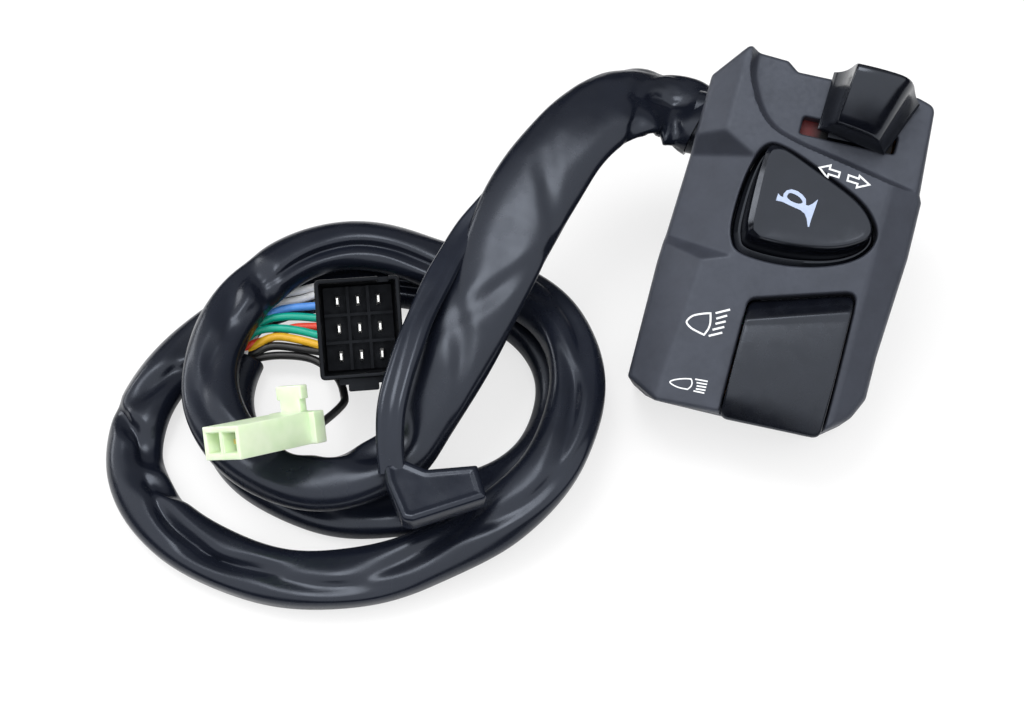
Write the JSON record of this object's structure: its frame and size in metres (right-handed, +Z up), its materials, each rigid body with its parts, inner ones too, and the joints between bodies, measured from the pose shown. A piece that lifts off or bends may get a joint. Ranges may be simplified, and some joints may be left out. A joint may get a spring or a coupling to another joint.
{
  "type": "handlebar switch cluster",
  "caption": "Motorbike handlebar switch cluster: clamp-on housing with turn-signal slider, horn button and beam rocker, and a sleeved harness looped to a multi-way plug.",
  "frame": {"origin": "middle of the handlebar clamp, on the bar's axis", "axes": "+X along the handlebar towards the grip side of the housing, +Z up off the table it lies on, +Y towards the turn slider's end"},
  "size_m": [0.1737, 0.1543, 0.0684],
  "materials": {
    "housing_plastic": "fine moulded texture, charcoal",
    "button_plastic": "smooth, satin to gloss black",
    "zinc_screw": "zinc plated",
    "spring_steel": "bright drawn wire",
    "carrier_plastic": "moulded, red",
    "contact_copper": "stamped strip",
    "contact_brass": "turned rivets and stamped terminal",
    "phenolic_board": "phenolic sheet",
    "plunger_nylon": "natural nylon",
    "grommet_rubber": "moulded, satin",
    "sleeve_vinyl": "soft vinyl, satin to gloss",
    "wire_teal": "soft insulation",
    "wire_white": "soft insulation",
    "wire_blue": "soft insulation",
    "wire_red": "soft insulation",
    "wire_yellow": "soft insulation",
    "wire_black": "soft insulation",
    "plug_nylon": "moulded nylon",
    "tin_pin": "tin plated",
    "pale_nylon": "natural nylon, slightly milky"
  },
  "bodies": {
    "body": {"front_housing": "housing_plastic", "rear_housing": "housing_plastic", "lower_cover": "housing_plastic", "housing_screws": "zinc_screw", "cover_screws": "zinc_screw", "turn_board_screws": "zinc_screw", "rocker_pin": "zinc_screw", "horn_spring": "spring_steel", "turn_contacts": "contact_brass", "horn_contact": "contact_brass", "beam_contacts": "contact_brass", "lead_terminals": "contact_brass", "turn_board": "phenolic_board", "horn_base": "phenolic_board", "beam_board": "phenolic_board", "cable_grommet": "grommet_rubber", "upper_sleeve": "sleeve_vinyl", "loop_sleeve": "sleeve_vinyl", "side_lead": "sleeve_vinyl", "side_boot": "sleeve_vinyl", "inner_wires": "wire_teal", "wires_green": "wire_teal", "wires_white": "wire_white", "wire_blue": "wire_blue", "wire_red": "wire_red", "wire_yellow": "wire_yellow", "wires_black": "wire_black", "lead_wire": "wire_black", "plug_housing": "plug_nylon", "plug_pins": "tin_pin", "lead_connector": "pale_nylon"},
    "turn_slider": {"turn_knob": "button_plastic", "turn_carrier": "carrier_plastic", "turn_knob_screw": "zinc_screw", "turn_wiper": "contact_copper", "turn_detent_ball": "spring_steel", "turn_detent_spring": "spring_steel"},
    "horn": {"horn_button": "button_plastic", "horn_contact_strip": "contact_copper"},
    "beam": {"beam_rocker": "button_plastic", "beam_plunger": "plunger_nylon", "beam_plunger_spring": "spring_steel", "beam_wiper": "contact_copper"}
  },
  "joints": [
    {"name": "turn_slide", "type": "slide", "parent": "body", "child": "turn_slider", "axis": [1, 0, 0], "range_m": [-0.0055, 0.0055]},
    {"name": "horn_press", "type": "slide", "parent": "body", "child": "horn", "axis": [0, 0.4713, -0.882], "range_m": [0, 0.0025], "stiffness_N_per_m": 500, "springref_m": -0.002, "deforming": ["horn_spring"]},
    {"name": "beam_rock", "type": "hinge", "parent": "body", "child": "beam", "pos_m": [0.007, -0.03091, 0.00162], "axis": [1, 0, 0], "range_deg": [0, 12]}
  ]
}
